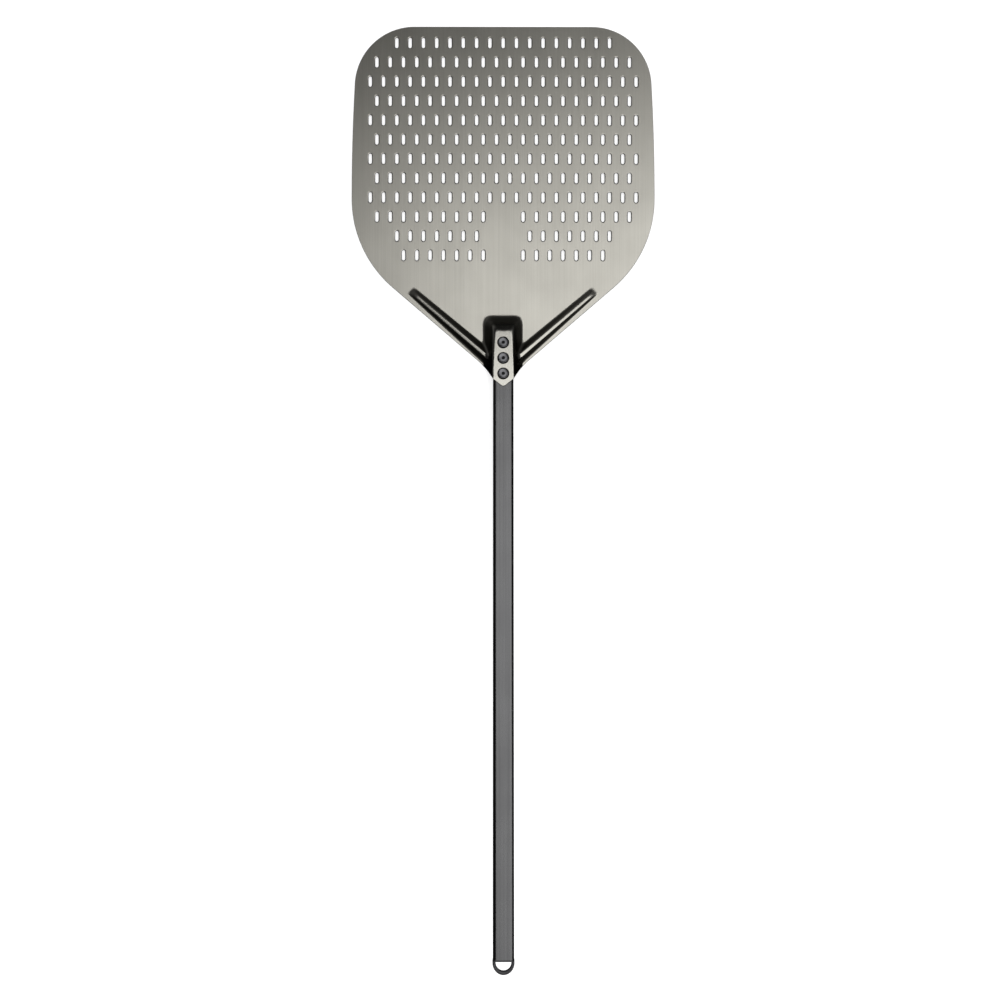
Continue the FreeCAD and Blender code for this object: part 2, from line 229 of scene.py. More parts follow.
# %% Grain: the fine, even texture that blasting or a mould leaves
def make_grain_group():
    group, given, gives = new_group(
        "fine_grain",
        [("NodeSocketVector", "Place", None), ("NodeSocketFloat", "Size", 4000.0)],
        [("NodeSocketFloat", "Grain height"), ("NodeSocketFloat", "Smudge")])
    grain = node(group, "ShaderNodeTexNoise")
    grain.inputs["Detail"].default_value = 4.0
    join(group, given.outputs["Size"], grain.inputs["Scale"])
    smudge = node(group, "ShaderNodeTexNoise")
    smudge.inputs["Scale"].default_value = 22.0
    smudge.inputs["Detail"].default_value = 3.0
    for texture in (grain, smudge):
        join(group, given.outputs["Place"], texture.inputs["Vector"])
    join(group, grain.outputs[0], gives.inputs["Grain height"])
    join(group, smudge.outputs[0], gives.inputs["Smudge"])
    return group


# %% Steepness: 0 where a face is level, looking up or down, and 1 where it is steep
def make_steep_group():
    """Both limits are sizes of the normal's Z."""
    group, given, gives = new_group(
        "steep_faces",
        [("NodeSocketFloat", "Level", 0.97), ("NodeSocketFloat", "Upright", 0.64)],
        [("NodeSocketFloat", "Steep")])
    split = node(group, "ShaderNodeSeparateXYZ")
    join(group, node(group, "ShaderNodeTexCoord").outputs["Normal"], split.inputs[0])
    mask = node(group, "ShaderNodeMapRange", clamp=True)
    join(group, calculated(group, "ABSOLUTE", split.outputs["Z"], 0.0), mask.inputs["Value"])
    join(group, given.outputs["Level"], mask.inputs["From Min"])
    join(group, given.outputs["Upright"], mask.inputs["From Max"])
    join(group, mask.outputs[0], gives.inputs["Steep"])
    return group


METAL_LINES = make_line_group()
EDGE_WEAR = make_wear_group()
FINE_GRAIN = make_grain_group()
STEEP_FACES = make_steep_group()
print("groups:", [group.name for group in (METAL_LINES, EDGE_WEAR, FINE_GRAIN, STEEP_FACES)])


# %% A finish: one Principled shader, with the groups placed around it
def placed(tree, group, place=None, **values):
    """A group in a material, with its own values; most groups also need a place."""
    made = node(tree, "ShaderNodeGroup")
    made.node_tree = group
    if place is not None:
        join(tree, place, made.inputs["Place"])
    for name, value in values.items():
        made.inputs[name].default_value = value
    return made


def spread(tree, source, low, high):
    """Maps a mask that runs from about 0.3 to 0.7 to the range low to high."""
    made = node(tree, "ShaderNodeMapRange", clamp=True)
    join(tree, source, made.inputs["Value"])
    made.inputs["From Min"].default_value = 0.3
    made.inputs["From Max"].default_value = 0.7
    made.inputs["To Min"].default_value = low
    made.inputs["To Max"].default_value = high
    return made.outputs[0]


def blended(tree, mask, first, second):
    """A colour that goes from first to second as the mask rises."""
    made = node(tree, "ShaderNodeMix", data_type="RGBA")
    sockets = {socket.identifier: socket for socket in made.inputs}
    join(tree, mask, sockets["Factor_Float"])
    for key, value in (("A_Color", first), ("B_Color", second)):
        if isinstance(value, tuple):
            sockets[key].default_value = (*value, 1.0)
        else:
            join(tree, value, sockets[key])
    return next(socket for socket in made.outputs if socket.identifier == "Result_Color")


def risen(tree, place, low, high):
    """A mask that goes from 0 to 1 between two heights, in millimetres."""
    split = node(tree, "ShaderNodeSeparateXYZ")
    join(tree, place, split.inputs[0])
    made = node(tree, "ShaderNodeMapRange", clamp=True)
    join(tree, split.outputs["Z"], made.inputs["Value"])
    made.inputs["From Min"].default_value = low * MM
    made.inputs["From Max"].default_value = high * MM
    return made.outputs[0]


# %% Metal finishes
# Use and painted light on a pressed sheet: its highest parts are smoother from use and carry a painted
# highlight that makes them paler, and its steep flanks carry painted shade. Heights are in millimetres.
SMOOTH_HEIGHTS = (7.0, 11.0)
PAINTED_HIGHLIGHT_HEIGHTS = (9.0, 14.0)
PAINTED_HIGHLIGHT_SHARE = 0.55
FLANK_PAINTED_SHADE = (0.13, 0.126, 0.112)


def metal_finish(name, dark, light, worn, rough, lines, bump, grain=5000.0, wear=1.0, turn=None, burnish_and_painted_light=0.0,
                 grain_share=0.35):
    """A lined and slightly worn metal. rough is its lowest and highest roughness, lines is (across, along).

    For a pressed sheet, a rubbing amount above 0 makes the highest parts smoother, paints them paler as a
    painted highlight, and paints steep flanks darker as painted shade.
    """
    material = bpy.data.materials.new(name)
    material.use_nodes = True
    tree = material.node_tree
    shader = tree.nodes["Principled BSDF"]
    shader.inputs["Metallic"].default_value = 1.0
    place = node(tree, "ShaderNodeTexCoord").outputs["Object"]
    lined = place
    if turn is not None:
        mapping = node(tree, "ShaderNodeMapping")
        mapping.inputs["Rotation"].default_value = turn
        join(tree, place, mapping.inputs["Vector"])
        lined = mapping.outputs[0]
    line = placed(tree, METAL_LINES, lined, Across=lines[0], Along=lines[1])
    speck = placed(tree, FINE_GRAIN, place, Size=grain)
    edge = placed(tree, EDGE_WEAR, place, Amount=wear)
    tone = blended(tree, spread(tree, line.outputs["Broad tone"], 0.0, 1.0), dark, light)
    if burnish_and_painted_light:
        # Painted highlight: the highest parts are painted paler, towards the worn colour.
        painted_highlight = calculated(tree, "MULTIPLY", risen(tree, place, *PAINTED_HIGHLIGHT_HEIGHTS), PAINTED_HIGHLIGHT_SHARE * burnish_and_painted_light)
        tone = blended(tree, painted_highlight, tone, worn)
        # Painted shade: steep flanks are painted darker.
        flank = placed(tree, STEEP_FACES, Level=0.97, Upright=0.64)
        tone = blended(tree, flank.outputs["Steep"], tone, FLANK_PAINTED_SHADE)
    colour = blended(tree, edge.outputs["Wear"], tone, worn)
    join(tree, colour, shader.inputs["Base Color"])
    base = spread(tree, speck.outputs["Smudge"], *rough)
    if burnish_and_painted_light:
        pressed = calculated(tree, "MULTIPLY", risen(tree, place, *SMOOTH_HEIGHTS), -burnish_and_painted_light)
        base = calculated(tree, "MULTIPLY", base, calculated(tree, "ADD", pressed, 1.0))
    streak = spread(tree, line.outputs["Line height"], -0.015, 0.015)
    join(tree, calculated(tree, "ADD", base, streak, clamp=True), shader.inputs["Roughness"])
    relief = node(tree, "ShaderNodeBump")
    relief.inputs["Distance"].default_value = bump
    fine = calculated(tree, "MULTIPLY", speck.outputs["Grain height"], grain_share)
    join(tree, calculated(tree, "ADD", line.outputs["Line height"], fine), relief.inputs["Height"])
    join(tree, relief.outputs[0], shader.inputs["Normal"])
    return material


# %% [markdown]
# ## The stage
#
# A product picture of a flat metal tool is mostly a picture of its light: the sheet shows whatever hangs
# over it. Here that is one broad soft box. Its front edge ends above the front of the blade, which is why
# the blade's front falls off to a dark grey while the rest is bright. The box hangs more to the right and
# is turned a little, so the right of the blade stays bright further forward than the left. The room is dark
# except for a dim band round it, so the tube's rounded edges go almost black, and so do the flanks of the
# pressed boss, which also carry painted shade. The floor is plain and pale, and lies a little below the
# blade, so that it shines up through the slots.

# %% Camera
camera_data = bpy.data.cameras.new("camera")
camera_data.sensor_width = 36.0
camera_data.lens = 42.88
camera = bpy.data.objects.new("camera", camera_data)
camera.location = (-0.0075, -0.3454, 1.300)
camera.rotation_euler = [math.radians(angle) for angle in (-0.21, -0.18, 0.01)]
bpy.context.scene.collection.objects.link(camera)
bpy.context.scene.camera = camera
bpy.context.scene.view_settings.view_transform = "Standard"
print("camera height:", camera.location.z)


# %% Soft boxes
def soft_box(name, centre, size, radiance, turn):
    """A rectangular light of even brightness that faces straight down, turned about the upright axis."""
    data = bpy.data.lights.new(name, "AREA")
    data.shape = "RECTANGLE"
    data.size, data.size_y = size
    data.energy = radiance * math.pi * size[0] * size[1]
    light = bpy.data.objects.new(name, data)
    light.location = centre
    light.rotation_euler.z = math.radians(turn)
    light.visible_camera = False
    bpy.context.scene.collection.objects.link(light)
    return light


overhead = soft_box("overhead_soft_box", centre=(0.770, -0.489, 2.20), size=(2.11, 2.51), radiance=1.67,
                    turn=12.6)
print("soft box power:", round(overhead.data.energy, 1), "W")


# %% The room: pale to look at, evenly soft on matt things, and nearly dark in reflections
ROOM_DARK = 0.006
ROOM_RIGHT = 0.05
ROOM_BACK = 0.12
ROOM_CORNERS = 0.16
ROOM_SOFT = 1.1
# (height, brightness) of the dim band round the room, from the horizon to straight overhead.
ROOM_BAND = [(0.0, 0.05), (0.08, 0.10), (0.22, 1.0), (0.50, 1.0), (0.72, 0.10), (1.0, 0.05)]


def make_room():
    world = bpy.data.worlds.new("room")
    bpy.context.scene.world = world
    world.use_nodes = True
    tree = world.node_tree
    background = tree.nodes["Background"]
    # Sampled as a light, the room could not tell which kind of ray asks for it.
    world.cycles.sampling_method = "NONE"
    rays = node(tree, "ShaderNodeLightPath")
    direction = node(tree, "ShaderNodeTexCoord")
    split = node(tree, "ShaderNodeSeparateXYZ")
    join(tree, direction.outputs["Generated"], split.inputs[0])
    band = node(tree, "ShaderNodeValToRGB")
    join(tree, split.outputs["Z"], band.inputs[0])
    while len(band.color_ramp.elements) < len(ROOM_BAND):
        band.color_ramp.elements.new(0.5)
    for element, (height, value) in zip(band.color_ramp.elements, ROOM_BAND):
        element.position = height
        element.color = (value, value, value, 1.0)
    x, y = split.outputs["X"], split.outputs["Y"]
    corner = calculated(tree, "MULTIPLY", calculated(tree, "MULTIPLY", x, y), -2.0, clamp=True)
    sides = calculated(tree, "ADD", ROOM_DARK, calculated(tree, "MULTIPLY", corner, ROOM_CORNERS))
    for towards, brightness in ((x, ROOM_RIGHT), (calculated(tree, "MULTIPLY", y, -1.0), ROOM_BACK)):
        facing = calculated(tree, "MAXIMUM", towards, 0.0)
        sides = calculated(tree, "ADD", sides, calculated(tree, "MULTIPLY", facing, brightness))
    glow = calculated(tree, "MULTIPLY", band.outputs[0], sides)
    soft = blended(tree, rays.outputs["Is Diffuse Ray"], glow, (ROOM_SOFT, ROOM_SOFT, ROOM_SOFT))
    seen = blended(tree, rays.outputs["Is Camera Ray"], soft, (1.0, 1.0, 1.0))
    join(tree, seen, background.inputs["Color"])
    return world


print("room:", make_room().name)


# %% Floor
FLOOR_HALF_SIZE = 40.0
FLOOR_DROP = 1.5 * MM


def make_floor():
    bm = bmesh.new()
    bmesh.ops.create_grid(bm, x_segments=1, y_segments=1, size=FLOOR_HALF_SIZE)
    bmesh.ops.translate(bm, vec=(0, 0, -FLOOR_DROP), verts=bm.verts[:])
    mesh = bpy.data.meshes.new("floor")
    bm.to_mesh(mesh)
    bm.free()
    floor = bpy.data.objects.new("floor", mesh)
    bpy.context.scene.collection.objects.link(floor)
    paint = bpy.data.materials.new("pale_floor")
    paint.use_nodes = True
    shader = paint.node_tree.nodes["Principled BSDF"]
    shader.inputs["Base Color"].default_value = (0.50, 0.50, 0.50, 1.0)
    shader.inputs["Roughness"].default_value = 0.9
    shader.inputs["Emission Color"].default_value = (1.0, 1.0, 1.0, 1.0)
    shader.inputs["Emission Strength"].default_value = 0.56
    mesh.materials.append(paint)
    floor.visible_glossy = False
    return floor


print("floor at z =", round(make_floor().data.vertices[0].co.z, 5))

# %% [markdown]
# ## The blade
#
# The blade starts as a flat sheet. Its outline is drawn with a pen, half of it, and mirrored. 227 slots are
# punched in rows, and then a press forms the boss and the ribs, which stretches the sheet upwards without
# moving it sideways. The mesh is made in the same order: outline, slots, a fine grid where the press will
# work, rolled edges, and last the lift.

# %% Sizes of the blade, in millimetres
SHEET = 1.5
HALF_WIDTH = 165.0
FRONT_Y = box_mm("blade")[1].y
FRONT_CORNER_R = 65.0
SIDE_R = 2250.0
WIDEST_Y = -22.0
REAR_CORNER_R = 127.0
V_ANGLE = math.radians(40.6)
NECK_X = 21.0
CLIMB_ANGLE = math.radians(58.0)
TONGUE_HALF_WIDTH = 10.8
TONGUE_ANGLE = math.radians(38.0)
TONGUE_NOSE_R = 4.0
EDGE_ROLL = 0.35


def rear_edge_y(x):
    """Y of the straight rear edge at the distance x from the centre line."""
    corner_x = HALF_WIDTH - REAR_CORNER_R + REAR_CORNER_R * math.sin(V_ANGLE)
    corner_y = WIDEST_Y - REAR_CORNER_R * math.cos(V_ANGLE)
    return corner_y - math.tan(V_ANGLE) * (corner_x - x)


print("front edge at", round(FRONT_Y, 2), "neck at", round(rear_edge_y(NECK_X), 2))


# %% The outline as one face
def draw_outline(bm):
    """Draws the right half from the front to the tip of the tongue, mirrors it and fills it.

    Returns the two corners of the right half that are still sharp: the neck and the tongue's shoulder.
    """
    # The front corner's arc runs smoothly into the side's arc.
    side_centre = Vector((HALF_WIDTH - SIDE_R, WIDEST_Y, 0))
    rise = FRONT_Y - FRONT_CORNER_R - WIDEST_Y
    side_turn = math.asin(rise / (SIDE_R - FRONT_CORNER_R))
    front_centre = side_centre + Vector((math.cos(side_turn) * (SIDE_R - FRONT_CORNER_R), rise, 0))
    neck = Vector((NECK_X, rear_edge_y(NECK_X), 0))
    shoulder = Vector((TONGUE_HALF_WIDTH, neck.y - math.tan(CLIMB_ANGLE) * (NECK_X - TONGUE_HALF_WIDTH), 0))
    nose_x = TONGUE_NOSE_R * math.sin(TONGUE_ANGLE)
    nose = Vector((nose_x, shoulder.y - math.tan(TONGUE_ANGLE) * (TONGUE_HALF_WIDTH - nose_x), 0))
    nose_centre = nose + Vector((-nose_x, TONGUE_NOSE_R * math.cos(TONGUE_ANGLE), 0))

    start = bm.verts.new((0, FRONT_Y, 0))
    pen = drawn_line(bm, start, (front_centre.x, FRONT_Y, 0))
    pen = drawn_arc(bm, pen, front_centre, math.degrees(side_turn) - 90, 28)
    pen = drawn_arc(bm, pen, side_centre, -math.degrees(side_turn), 8)
    pen = drawn_arc(bm, pen, (HALF_WIDTH - REAR_CORNER_R, WIDEST_Y, 0), math.degrees(V_ANGLE) - 90, 28)
    neck_pen = drawn_line(bm, pen, neck)
    shoulder_pen = drawn_line(bm, neck_pen, shoulder)
    pen = drawn_line(bm, shoulder_pen, nose)
    drawn_arc(bm, pen, nose_centre, -math.degrees(TONGUE_ANGLE), 6)
    bmesh.ops.remove_doubles(bm, verts=bm.verts[:], dist=0.001)
    bmesh.ops.mirror(bm, geom=bm.verts[:] + bm.edges[:], axis="X", merge_dist=0.001)
    face = bmesh.ops.edgeloop_fill(bm, edges=bm.edges[:])["faces"][0]
    if face.normal.z < 0:
        face.normal_flip()
    return neck, shoulder


def soften_corner(bm, place, reach, segments):
    """Rounds the outline's corner at a place, on both sides of the sheet."""
    corners = [v for v in bm.verts if (Vector((abs(v.co.x), v.co.y, 0)) - place).length < 0.01]
    bmesh.ops.bevel(bm, geom=corners, offset=reach, offset_type="OFFSET", segments=segments, profile=0.5,
                    affect="VERTICES", material=-1)


blade = bmesh.new()
neck_place, shoulder_place = draw_outline(blade)
soften_corner(blade, neck_place, reach=7.0, segments=5)
soften_corner(blade, shoulder_place, reach=1.2, segments=3)
border = bmesh.ops.inset_region(blade, faces=blade.faces[:], thickness=EDGE_ROLL, use_boundary=True,
                                use_even_offset=True)
bmesh.ops.delete(blade, geom=border["faces"], context="FACES")
print("outline has", len(blade.verts), "vertices,", len(blade.faces), "face")

# %% [markdown]
# ### The grid where the press works
#
# A sheet that has to bend needs vertices to bend at. Knife cuts with bisect_plane are made only where
# something is formed: a square grid under the boss, and long cuts along each rib with short ones across, so
# that the rib's crests follow the mesh. The flat part with the slots keeps large faces.

# %% Knife cuts
PRESS_LINE_Y = -108.0
BOSS_ZONE_HALF = 23.6
BOSS_ZONE_Y = (-228.0, -146.4)
BOSS_CELL = 0.8
# The ribs' zones run from ahead of each rib's outer end into the boss, and this far in from the rear edge.
RIB_ZONE_RUN = (-3.0, 126.0)
RIB_ZONE_DEPTH = 20.3
RIB_CELL = 0.55
# (from, to, step) of the cuts across a rib: close together over its sloping end, and wider over the rest.
RIB_END_CUTS = (RIB_ZONE_RUN[0], 11.0, 1.0)
RIB_LONG_CUTS = (9.0, RIB_ZONE_RUN[1], 2.2)
RIB_TIP_X = 99.6
RIB_FOOT_MIDDLE = 10.45
RIB_INWARD = Vector((-math.sin(V_ANGLE), math.cos(V_ANGLE)))
RIB_ALONG = Vector((-math.cos(V_ANGLE), -math.sin(V_ANGLE)))
rib_start_x = RIB_TIP_X - RIB_INWARD.x * RIB_FOOT_MIDDLE
RIB_START = Vector((rib_start_x, rear_edge_y(rib_start_x)))


def rib_place(point, side):
    """(distance along the rib from its outer end, distance in from the rear edge) on one side."""
    offset = Vector((side * point.x, point.y)) - RIB_START
    return offset.dot(RIB_ALONG), offset.dot(RIB_INWARD)


def rib_point(s, d, side):
    """The point of the sheet at a rib place."""
    point = RIB_START + s * RIB_ALONG + d * RIB_INWARD
    return Vector((side * point.x, point.y, 0))


def knife(bm, chosen, point, across):
    """Cuts the chosen faces along the line through point that is square to across."""
    faces = [face for face in bm.faces if chosen(face.calc_center_median())]
    edges = {edge for face in faces for edge in face.edges}
    verts = {vert for face in faces for vert in face.verts}
    bmesh.ops.bisect_plane(bm, geom=[*faces, *edges, *verts], dist=0.002, plane_co=point, plane_no=across)


def steps_between(low, high, step):
    """Even steps between two values, both left out."""
    count = round((high - low) / step)
    return [low + (high - low) * index / count for index in range(1, count)]


def in_boss_zone(point):
    return abs(point.x) < BOSS_ZONE_HALF and point.y < BOSS_ZONE_Y[1]


def in_rib_zone(side):
    def inside(point):
        s, d = rib_place(point, side)
        return point.x * side > 0 and RIB_ZONE_RUN[0] < s < RIB_ZONE_RUN[1] and d < RIB_ZONE_DEPTH
    return inside


print("each rib starts at", [round(value, 2) for value in RIB_START])


# %% Cut the zones, then the cells
knife(blade, lambda p: True, (0, PRESS_LINE_Y, 0), FORWARD)
knife(blade, lambda p: p.y < PRESS_LINE_Y, (0, 0, 0), RIGHT)
for side in (1, -1):
    across = (rib_point(0, 1, side) - rib_point(0, 0, side)).normalized()
    along = (rib_point(1, 0, side) - rib_point(0, 0, side)).normalized()

    def this_side(point, side=side):
        return point.x * side > 0 and point.y < PRESS_LINE_Y

    # Two cuts mark the zone's inner side and its outer end, and then the cells are cut inside it.
    knife(blade, this_side, rib_point(0, RIB_ZONE_DEPTH, side), across)
    knife(blade, this_side, rib_point(RIB_ZONE_RUN[0], 0, side), along)
    for d in steps_between(0, RIB_ZONE_DEPTH, RIB_CELL):
        knife(blade, in_rib_zone(side), rib_point(0, d, side), across)
    for s in steps_between(*RIB_END_CUTS) + steps_between(*RIB_LONG_CUTS):
        knife(blade, in_rib_zone(side), rib_point(s, 0, side), along)
    knife(blade, this_side, (side * BOSS_ZONE_HALF, 0, 0), RIGHT)
knife(blade, lambda p: abs(p.x) < BOSS_ZONE_HALF and p.y < PRESS_LINE_Y, (0, BOSS_ZONE_Y[1], 0), FORWARD)
for x in steps_between(-BOSS_ZONE_HALF, BOSS_ZONE_HALF, BOSS_CELL):
    knife(blade, in_boss_zone, (x, 0, 0), RIGHT)
for y in steps_between(*BOSS_ZONE_Y, BOSS_CELL):
    knife(blade, in_boss_zone, (0, y, 0), FORWARD)
print("after the knife:", len(blade.faces), "faces")

# %% [markdown]
# ### Slots
#
# One slot is drawn once, as two half circles swung by the pen, and copied to every place in its row. What
# is drawn is the outer edge of its rolled rim, so it is wider than the slot's clear mouth. Then one fill
# joins the outline and all the slots into the flat, pierced part of the sheet.

# %% The slot pattern
# The clear width and length of the mouth, and how far its rolled rim reaches round it.
SLOT_WIDTH = 3.7
SLOT_LENGTH = 11.6
SLOT_ROLL = 1.0
SLOT_END_STEPS = 5
SLOT_PITCH = (14.48, 21.0)
FIRST_ROW_Y = 147.5
# The outermost and the innermost slot of each row, in pitches from the centre line.
SLOT_ROWS = [(8, 0), (9.5, 0.5), (10, 0), (9.5, 0.5), (10, 0), (9.5, 0.5),
             (10, 0), (9.5, 0.5), (10, 0), (9.5, 1.5), (8, 2), (7.5, 1.5)]


def slot_places():
    for row, (outer, inner) in enumerate(SLOT_ROWS):
        y = FIRST_ROW_Y - row * SLOT_PITCH[1]
        for step in range(round(outer - inner) + 1):
            x = (inner + step) * SLOT_PITCH[0]
            yield Vector((x, y, 0))
            if x > 0:
                yield Vector((-x, y, 0))


def draw_slot(bm):
    """One slot's mouth with its rolled rim, as a closed loop of edges about the origin."""
    radius = SLOT_WIDTH / 2 + SLOT_ROLL
    half = (SLOT_LENGTH - SLOT_WIDTH) / 2
    known = set(bm.verts)
    start = bm.verts.new((radius, half, 0))
    pen = drawn_arc(bm, start, (0, half, 0), 180, SLOT_END_STEPS)
    pen = drawn_line(bm, pen, (-radius, -half, 0))
    pen = drawn_arc(bm, pen, (0, -half, 0), 180, SLOT_END_STEPS)
    bm.edges.new((pen, start))
    return [vert for vert in bm.verts if vert not in known]


def punch_slots(bm):
    template = draw_slot(bm)
    loop = list({edge for vert in template for edge in vert.link_edges})
    places = list(slot_places())
    for place in places[1:]:
        copy = bmesh.ops.duplicate(bm, geom=template + loop)["geom"]
        bmesh.ops.translate(bm, vec=place, verts=[v for v in copy if isinstance(v, bmesh.types.BMVert)])
    bmesh.ops.translate(bm, vec=places[0], verts=template)
    return len(places)


front = max(blade.faces, key=lambda face: face.calc_center_median().y)
front_border = front.edges[:]
bmesh.ops.delete(blade, geom=[front], context="FACES_ONLY")
slot_count = punch_slots(blade)
slot_edges = [edge for edge in blade.edges if not edge.link_faces and edge not in set(front_border)]
bmesh.ops.triangle_fill(blade, edges=front_border + slot_edges, use_beauty=True, normal=UP)
print(slot_count, "slots;", len(blade.faces), "faces")

# %% [markdown]
# ### Rivet holes
#
# The rivets pass through the boss. Each hole is cut out of the fine grid, and its rim is pulled onto a true
# circle.

# %% The slope of the handle and the places of the rivets
HANDLE_RISE = math.radians(6.0)
TUBE_HEIGHT = 12.0
RIVET_NAMES = ("front", "middle", "rear")
RIVET_HOLE_R = 3.25
# The frame's rivet heads are widest over a low rim of this height, on the boss's top.
HEAD_RIM = 0.8
tube_low, tube_high = box_mm("handle_tube")
TUBE_FRONT_Y = tube_high.y
TUBE_TOP_Z = tube_low.z + TUBE_HEIGHT * math.cos(HANDLE_RISE)
TUBE_LENGTH = (TUBE_FRONT_Y - tube_low.y - TUBE_HEIGHT * math.sin(HANDLE_RISE)) / math.cos(HANDLE_RISE)
SEAT_Z = SHEET * math.cos(HANDLE_RISE)


def rivet_station(place):
    """Distance of a rivet's axis from the tube's front end, along the slope."""
    low, high = box_mm(f"rivet_{place}_body")
    rim_middle = SEAT_Z + HEAD_RIM / 2
    return (TUBE_FRONT_Y - (low.y + high.y) / 2 + rim_middle * math.sin(HANDLE_RISE)) / math.cos(HANDLE_RISE)


def on_slope(y, z):
    """The row's Y and Z of a point that is drawn level, with the tube's front top edge at the origin."""
    turned = Matrix.Rotation(-HANDLE_RISE, 3, "X") @ Vector((0, y, z))
    return Vector((0, turned.y + TUBE_FRONT_Y, turned.z + TUBE_TOP_Z))


print("tube length", round(TUBE_LENGTH, 2), "rivets at", [round(rivet_station(p), 2) for p in RIVET_NAMES])


# %% Cut the holes
def cut_rivet_hole(bm, centre):
    def gap(point):
        return (point.xy - centre.xy).length

    cells = [face for face in bm.faces if gap(face.calc_center_median()) < RIVET_HOLE_R]
    bmesh.ops.delete(bm, geom=cells, context="FACES")
    nearby = RIVET_HOLE_R + 2 * BOSS_CELL
    rim = [edge for edge in bm.edges if edge.is_boundary and gap(edge.verts[0].co) < nearby]
    for vert in {vert for edge in rim for vert in edge.verts}:
        spoke = (vert.co.xy - centre.xy).normalized() * RIVET_HOLE_R
        vert.co.x, vert.co.y = centre.x + spoke.x, centre.y + spoke.y
    return rim


rivet_rims = []
for place in RIVET_NAMES:
    rivet_rims += cut_rivet_hole(blade, on_slope(-rivet_station(place), 0))
for face in blade.faces:
    if face.normal.z < 0:
        face.normal_flip()
print(len(rivet_rims), "rim edges round the rivet holes")

# %% [markdown]
# ### Rolled edges and the second skin
#
# Sheet metal has no knife edges after anodising: the outline and the slots are deburred and softly rolled.
# Every open edge of the top skin is extruded outwards and down in a few steps, and the bottom skin is a
# copy of the top one that closes the shape.

# %% Extrude open edges in steps of (outward, down)
def outward_of(edges):
    """For each vertex of an open border, the level direction away from the sheet, mitred at corners."""
    sides = {}
    for edge in edges:
        loop = edge.link_loops[0]
        run = loop.link_loop_next.vert.co - loop.vert.co
        side = run.cross(UP).normalized()
        for vert in edge.verts:
            sides.setdefault(vert, []).append(side)
    return {vert: (pair[0] + pair[-1]) / (1 + pair[0].dot(pair[-1])) for vert, pair in sides.items()}


def roll_edges(bm, edges, course):
    outward = outward_of(edges)
    start = {vert: vert.co.copy() for vert in outward}
    ring = edges
    for out, down in course:
        made = bmesh.ops.extrude_edge_only(bm, edges=ring)["geom"]
        fresh = {item for item in made if isinstance(item, bmesh.types.BMVert)}
        for vert in fresh:
            linked = [edge.other_vert(vert) for edge in vert.link_edges]
            source = next(other for other in linked if other not in fresh)
            outward[vert], start[vert] = outward[source], start[source]
            vert.co = start[vert] + outward[vert] * out - UP * down
        ring = [item for item in made if isinstance(item, bmesh.types.BMEdge) and set(item.verts) <= fresh]


def rolled_course(roll):
    """Steps of a soft roll through the sheet, the same from above and from below."""
    return [(0.70 * roll, 0.09 * SHEET), (roll, 0.34 * SHEET), (roll, 0.66 * SHEET),
            (0.70 * roll, 0.91 * SHEET), (0.0, SHEET)]


bmesh.ops.translate(blade, vec=UP * SHEET, verts=blade.verts[:])
skin = blade.faces[:]
open_edges = [edge for edge in blade.edges if edge.is_boundary]
slot_set, rivet_set = set(slot_edges), set(rivet_rims)
sheet_border = [edge for edge in open_edges if edge not in slot_set and edge not in rivet_set]
roll_edges(blade, [edge for edge in open_edges if edge in slot_set], rolled_course(SLOT_ROLL))
roll_edges(blade, sheet_border, rolled_course(EDGE_ROLL))
roll_edges(blade, [edge for edge in open_edges if edge in rivet_set], [(0.0, SHEET)])

copy = bmesh.ops.duplicate(blade, geom=skin)["geom"]
bmesh.ops.translate(blade, vec=-UP * SHEET, verts=[v for v in copy if isinstance(v, bmesh.types.BMVert)])
bmesh.ops.reverse_faces(blade, faces=[f for f in copy if isinstance(f, bmesh.types.BMFace)])
bmesh.ops.remove_doubles(blade, verts=blade.verts[:], dist=0.002)
bmesh.ops.recalc_face_normals(blade, faces=blade.faces[:])
print("open edges left:", sum(edge.is_boundary for edge in blade.edges))

# %% Where a flat face meets a rolled one, the shading breaks
for edge in blade.edges:
    level = [abs(face.normal.z) > 0.999 for face in edge.link_faces]
    edge.smooth = len(set(level)) < 2

# %% [markdown]
# ### The press
#
# The boss is a hood with sloping flanks and a flat top that lies on the tube; each rib is a long low ridge
# that grows from nothing at its outer end to more than half of the boss's height. Each is described by the
# planes of its flanks and top, joined by soft minimums, which round the edges, and soft maximums, which
# round the valleys. Both end exactly, so the flat sheet stays exactly flat.

# %% Soft joins
def soft_min(a, b, reach):
    """The smaller value, eased down where the two are closer than the reach."""
    return min(a, b) - max(reach - abs(a - b), 0.0) ** 2 / (4 * reach)


def soft_max(a, b, reach):
    return -soft_min(-a, -b, reach)


print("at a crossing, a reach of 2 rounds an edge off by", -soft_min(0.0, 0.0, 2.0))

# %% Sizes of the boss and the ribs; a pair runs from a rib's outer end to the boss, unless it says otherwise
BOSS_FRONT_Y = -150.5
BOSS_TOP_Y = -163.1
BOSS_FOOT_HALF = 20.7
BOSS_TOP_HALF = (10.5, 12.7)             # at the front of the top, and at BOSS_END_Y
BOSS_END_Y = -240.0
BOSS_CORNER_REACH = (10.0, 4.0)          # at the foot, and at the top
BOSS_TOP_REACH = (2.8, 4.5)              # at the sides, and at the front
RIB_LENGTH = 121.0
RIB_TOP_START = 6.0
RIB_FOOT_OUTER = (6.0, 3.2)
RIB_FOOT_INNER = (14.9, 17.9)
RIB_TOP_OUTER = (7.5, 6.8)
RIB_CREST = 11.3
RIB_TOP_FALL = math.tan(math.radians(4.0))     # the top falls away from its crest
RIB_RISE = (3.0, 8.6)
RIB_EDGE_REACH = 1.7
RIB_END_REACH = 2.2
VALLEY_REACH = 6.5
FOOT_REACH = (1.0, 2.0)                  # at the foot of a rib, and of the boss
MARGIN_REACH = (1.0, 6.0)                # at the outer foot of a rib
SHOULDER_BLEND = 10.0
